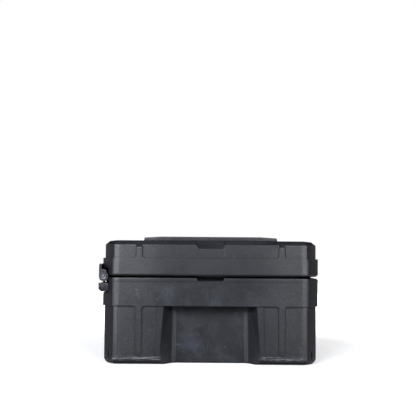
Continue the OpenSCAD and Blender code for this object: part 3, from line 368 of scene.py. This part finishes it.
CASE = (0.0088, 0.0090, 0.0112)
LATCH = (0.0095, 0.0095, 0.0125)
M = {
    "case_plastic": moulded("case_plastic", CASE, 0.43, 270.0, 0.00022, 0.16, edge_wear_and_highlight=0.60, marks_and_painted_light=True, radius=0.0026),
    "latch_plastic": moulded("latch_plastic", LATCH, 0.38, 260.0, 0.00022, 0.20, spec=0.42, edge_wear_and_highlight=0.25, radius=0.0012, latch=True),
    "control_plastic": moulded("control_plastic", (0.022, 0.022, 0.025), 0.38, 800.0, 0.00005, 0.12),
    "deck_plastic": moulded("deck_plastic", (0.105, 0.108, 0.115), 0.50, 520.0, 0.00012, 0.12),
    "connector_grey": moulded("connector_grey", (0.20, 0.205, 0.22), 0.45, 800.0, 0.00006, 0.10),
    "switch_red": gloss("switch_red", (0.52, 0.028, 0.020), 0.32),
    "button_white": gloss("button_white", (0.72, 0.72, 0.68), 0.30),
    "button_green": gloss("button_green", (0.035, 0.30, 0.07), 0.30),
    "window": window("window", (0.010, 0.014, 0.016)),
    "cap_rubber": rubber("cap_rubber", (0.030, 0.030, 0.033), 0.62),
    "seal_rubber": rubber("seal_rubber", (0.012, 0.012, 0.012), 0.75),
    "pin_steel": metal("pin_steel", (0.56, 0.56, 0.58), 0.33, (1, 0.2, 1)),
    "pin_dark": ring_head("pin_dark", (0.20, 0.20, 0.225), 0.30, "latch_pins"),
    "contact_silver": metal("contact_silver", (0.74, 0.72, 0.67), 0.28, (1, 1, 0.2)),
    "stud_brass": metal("stud_brass", (0.78, 0.57, 0.25), 0.25, (1, 1, 3)),
    "plate_aluminium": metal("plate_aluminium", (0.66, 0.67, 0.69), 0.36, (0.1, 1, 1)),
    "bus_copper": metal("bus_copper", (0.86, 0.45, 0.26), 0.28, (1, 0.15, 1)),
    "insulator": paper("insulator", (0.60, 0.55, 0.42)),
    "pad_foam": foam("pad_foam", (0.055, 0.057, 0.062)),
    "cell_wrap": gloss("cell_wrap", (0.035, 0.13, 0.42), 0.24),
    "cable_red": rubber("cable_red", (0.42, 0.022, 0.016), 0.45, 600.0),
    "cable_black": rubber("cable_black", (0.018, 0.018, 0.020), 0.45, 600.0),
    "cable_sense": rubber("cable_sense", (0.42, 0.33, 0.05), 0.45, 600.0),
}
slot_of = {s["node"]: s["material_slot"] for s in rec["subparts"]}

def tidy(o, angle=32.0):
    """Shares the vertices that the importer split, then keeps only real corners sharp."""
    w = o.modifiers.new("weld", "WELD"); w.merge_threshold = 0.00002
    e = o.modifiers.new("corners", "EDGE_SPLIT"); e.split_angle = math.radians(angle); e.use_edge_sharp = False
    for p in o.data.polygons:
        p.use_smooth = True


for name, o in nodes.items():
    s = slot_of[name]
    o.data.materials.clear()
    o.data.materials.append(M[s])
    for p in o.data.polygons:
        p.material_index = 0
    tidy(o)

# ------------------------------------------------------------------ stage
def plane(name, size, z, mat):
    me = bpy.data.meshes.new(name)
    s = size / 2
    me.from_pydata([(-s, -s, z), (s, -s, z), (s, s, z), (-s, s, z)], [], [(0, 1, 2, 3)])
    ob = bpy.data.objects.new(name, me)
    sc.collection.objects.link(ob)
    me.materials.append(mat)
    return ob


g = G("floor_white")
x, y, z = g.xyz()
dist = g.math("SQRT", g.math("ADD", g.math("MULTIPLY", x, x), g.math("MULTIPLY", y, y)))
lpn = g.add("ShaderNodeLightPath")
grain = g.noise(300.0, 3.0, 0.5)
glow = g.math("MULTIPLY", lpn.outputs["Is Camera Ray"], g.ramp(dist, 0.30, 0.56, 0.40, 1.0))
plane("floor", 30.0, -0.0004, g.set(color=g.mix(grain, (0.80, 0.80, 0.80), (0.84, 0.84, 0.84)), rough=0.9, spec=0.05, emit=(1, 1, 1), emit_s=glow))

# ------------------------------------------------------------------ light
world = bpy.data.worlds.new("studio")
sc.world = world
world.use_nodes = True
wt = world.node_tree
wt.nodes.clear()
wo = wt.nodes.new("ShaderNodeOutputWorld")
bg = wt.nodes.new("ShaderNodeBackground")
bw = wt.nodes.new("ShaderNodeBackground")
lp = wt.nodes.new("ShaderNodeLightPath")
mx = wt.nodes.new("ShaderNodeMixShader")
bg.inputs["Color"].default_value = (1, 1, 1, 1); bg.inputs["Strength"].default_value = 0.035
bw.inputs["Color"].default_value = (1, 1, 1, 1); bw.inputs["Strength"].default_value = 1.0
wt.links.new(lp.outputs["Is Camera Ray"], mx.inputs[0])
wt.links.new(bg.outputs[0], mx.inputs[1]); wt.links.new(bw.outputs[0], mx.inputs[2])
wt.links.new(mx.outputs[0], wo.inputs["Surface"])


def area(name, loc, target, sx, sy, power, color=(1, 1, 1)):
    l = bpy.data.lights.new(name, "AREA")
    l.shape = "RECTANGLE"; l.size = sx; l.size_y = sy; l.energy = power; l.color = color
    ob = bpy.data.objects.new(name, l)
    sc.collection.objects.link(ob)
    ob.location = loc
    ob.rotation_euler = (Vector(target) - Vector(loc)).to_track_quat("-Z", "Y").to_euler()
    return ob


area("key_left", (-0.80, -2.40, 1.30), (0, -0.25, 0.15), 1.0, 0.8, 78.0, (0.88, 0.905, 1.0))
area("key_right", (0.85, -2.40, 1.30), (0, -0.25, 0.15), 1.0, 0.8, 44.0, (0.96, 0.97, 1.0))
area("edge_left", (-1.10, -1.60, 0.50), (-0.1, -0.25, 0.14), 0.10, 0.8, 3.0, (0.90, 0.925, 1.0))
area("edge_right", (1.10, -1.60, 0.50), (0.1, -0.25, 0.14), 0.10, 0.8, 1.5)
# the far end and sides get softer light from behind the case, so it stays off the near end
area("far_left", (-2.3, 1.0, 0.80), (-0.1, 0.05, 0.12), 1.2, 0.6, 13.0)
area("far_right", (2.3, 1.0, 0.80), (0.1, 0.05, 0.12), 1.2, 0.6, 11.0)
area("far_end", (0.0, 2.4, 0.95), (0, 0.2, 0.12), 1.6, 0.6, 30.0)

# ------------------------------------------------------------------ camera
cam_d = bpy.data.cameras.new("camera")
cam = bpy.data.objects.new("camera", cam_d)
sc.collection.objects.link(cam)
sc.camera = cam
cam_d.sensor_width = 36.0
cam_d.lens = 64.2
cam_d.clip_start = 0.05
loc = Vector((-0.0053, -0.255 - 1.35, 0.195))
aim = Vector((-0.0055, -0.255, 0.284))
q = (aim - loc).to_track_quat("-Z", "Y")
roll = math.radians(0.43)
cam.matrix_world = Matrix.Translation(loc) @ q.to_matrix().to_4x4() @ Matrix.Rotation(roll, 4, "Z")
